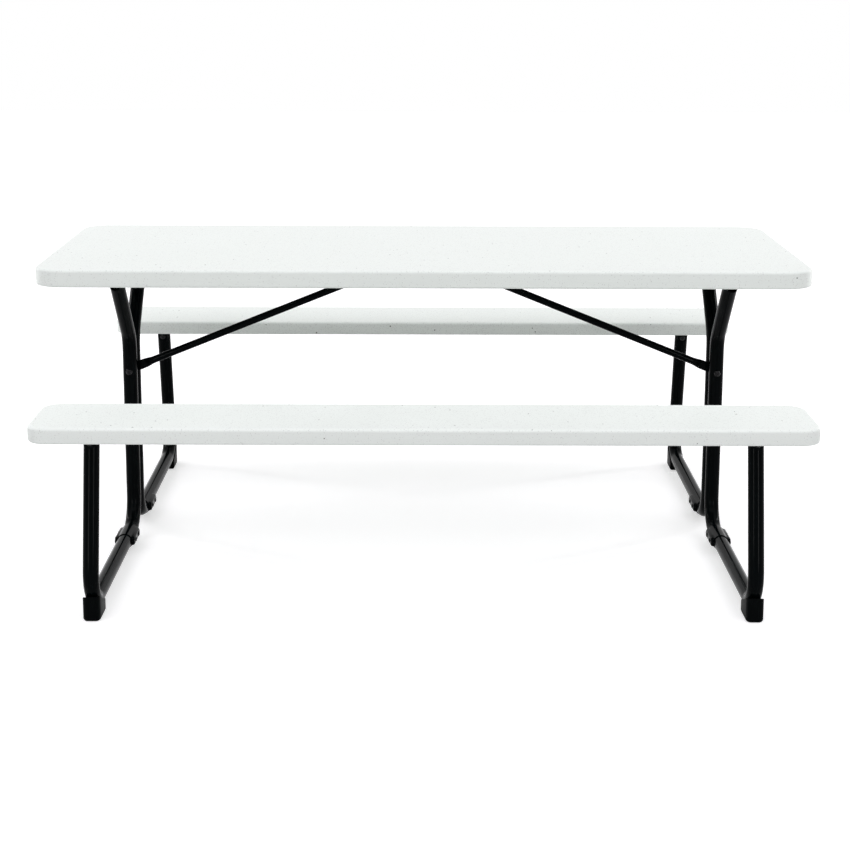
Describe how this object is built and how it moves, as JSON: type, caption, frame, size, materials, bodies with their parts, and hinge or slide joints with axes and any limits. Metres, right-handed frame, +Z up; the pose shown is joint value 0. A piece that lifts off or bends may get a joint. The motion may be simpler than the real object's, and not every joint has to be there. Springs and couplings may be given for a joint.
{
  "type": "folding picnic table",
  "caption": "Rectangular picnic table with a white speckled moulded top and attached benches on black bent tube end frames with diagonal braces; the frames fold flat under the top.",
  "frame": {"origin": "on the floor under the middle of the table top", "axes": "+X along the table to the right, +Y to the rear bench, +Z up"},
  "size_m": [1.829, 1.464, 0.749],
  "materials": {
    "white_moulding": "satin, fine grey speckle",
    "black_frame": "semi-gloss powder coat",
    "black_plastic": "moulded, matt",
    "black_fastener": "blackened",
    "zinc_steel": "zinc plated"
  },
  "bodies": {
    "table": {"table_top": "white_moulding", "table_screws": "zinc_steel", "left_front_hinge_saddle": "black_frame", "left_rear_hinge_saddle": "black_frame", "left_brace_keeper": "black_frame", "right_front_hinge_saddle": "black_frame", "right_rear_hinge_saddle": "black_frame", "right_brace_keeper": "black_frame"},
    "left_frame": {"left_hinge_bar": "black_frame", "left_front_upright": "black_frame", "left_front_bench_support": "black_frame", "left_front_socket": "black_frame", "left_front_foot": "black_plastic", "left_front_leg_plug": "black_plastic", "left_rear_upright": "black_frame", "left_rear_bench_support": "black_frame", "left_rear_socket": "black_frame", "left_rear_foot": "black_plastic", "left_rear_leg_plug": "black_plastic", "left_socket_bolts": "black_fastener", "left_cross_bolt": "black_fastener", "left_cross_nut": "black_fastener", "left_brace_spacers": "black_plastic"},
    "right_frame": {"right_hinge_bar": "black_frame", "right_front_upright": "black_frame", "right_front_bench_support": "black_frame", "right_front_socket": "black_frame", "right_front_foot": "black_plastic", "right_front_leg_plug": "black_plastic", "right_rear_upright": "black_frame", "right_rear_bench_support": "black_frame", "right_rear_socket": "black_frame", "right_rear_foot": "black_plastic", "right_rear_leg_plug": "black_plastic", "right_socket_bolts": "black_fastener", "right_cross_bolt": "black_fastener", "right_cross_nut": "black_fastener", "right_brace_spacers": "black_plastic"},
    "front_bench": {"front_bench_seat": "white_moulding", "front_bench_left_bracket": "black_frame", "front_bench_left_pivot_bolt": "black_fastener", "front_bench_right_bracket": "black_frame", "front_bench_right_pivot_bolt": "black_fastener", "front_bench_screws": "zinc_steel"},
    "rear_bench": {"rear_bench_seat": "white_moulding", "rear_bench_left_bracket": "black_frame", "rear_bench_left_pivot_bolt": "black_fastener", "rear_bench_right_bracket": "black_frame", "rear_bench_right_pivot_bolt": "black_fastener", "rear_bench_screws": "zinc_steel"},
    "left_brace": {"left_brace_tube": "black_frame", "left_brace_pin": "zinc_steel"},
    "right_brace": {"right_brace_tube": "black_frame", "right_brace_pin": "zinc_steel"}
  },
  "joints": [
    {"name": "left_frame_fold", "type": "hinge", "parent": "table", "child": "left_frame", "pos_m": [-0.744, 0, 0.684], "axis": [0, -1, 0], "range_deg": [0, 90]},
    {"name": "right_frame_fold", "type": "hinge", "parent": "table", "child": "right_frame", "pos_m": [0.744, 0, 0.684], "axis": [0, -1, 0], "range_deg": [0, 90]},
    {"name": "front_bench_level", "type": "hinge", "parent": "left_frame", "child": "front_bench", "pos_m": [-0.744, -0.6, 0.4], "axis": [0, -1, 0], "range_deg": [-90, 0]},
    {"name": "rear_bench_level", "type": "hinge", "parent": "left_frame", "child": "rear_bench", "pos_m": [-0.744, 0.6, 0.4], "axis": [0, -1, 0], "range_deg": [-90, 0]},
    {"name": "left_brace_fold", "type": "hinge", "parent": "left_frame", "child": "left_brace", "pos_m": [-0.744, 0, 0.433], "axis": [0, -1, 0], "range_deg": [-115.92, 0]},
    {"name": "right_brace_fold", "type": "hinge", "parent": "right_frame", "child": "right_brace", "pos_m": [0.744, 0, 0.433], "axis": [0, -1, 0], "range_deg": [-61.1, 0]}
  ],
  "couplings": [
    {"joint": "right_frame_fold", "follows": "left_frame_fold", "ratio": 1},
    {"joint": "front_bench_level", "follows": "left_frame_fold", "ratio": -1},
    {"joint": "rear_bench_level", "follows": "left_frame_fold", "ratio": -1},
    {"joint": "left_brace_fold", "follows": "left_frame_fold", "ratio": -1.2879},
    {"joint": "right_brace_fold", "follows": "left_frame_fold", "ratio": -0.67875}
  ]
}
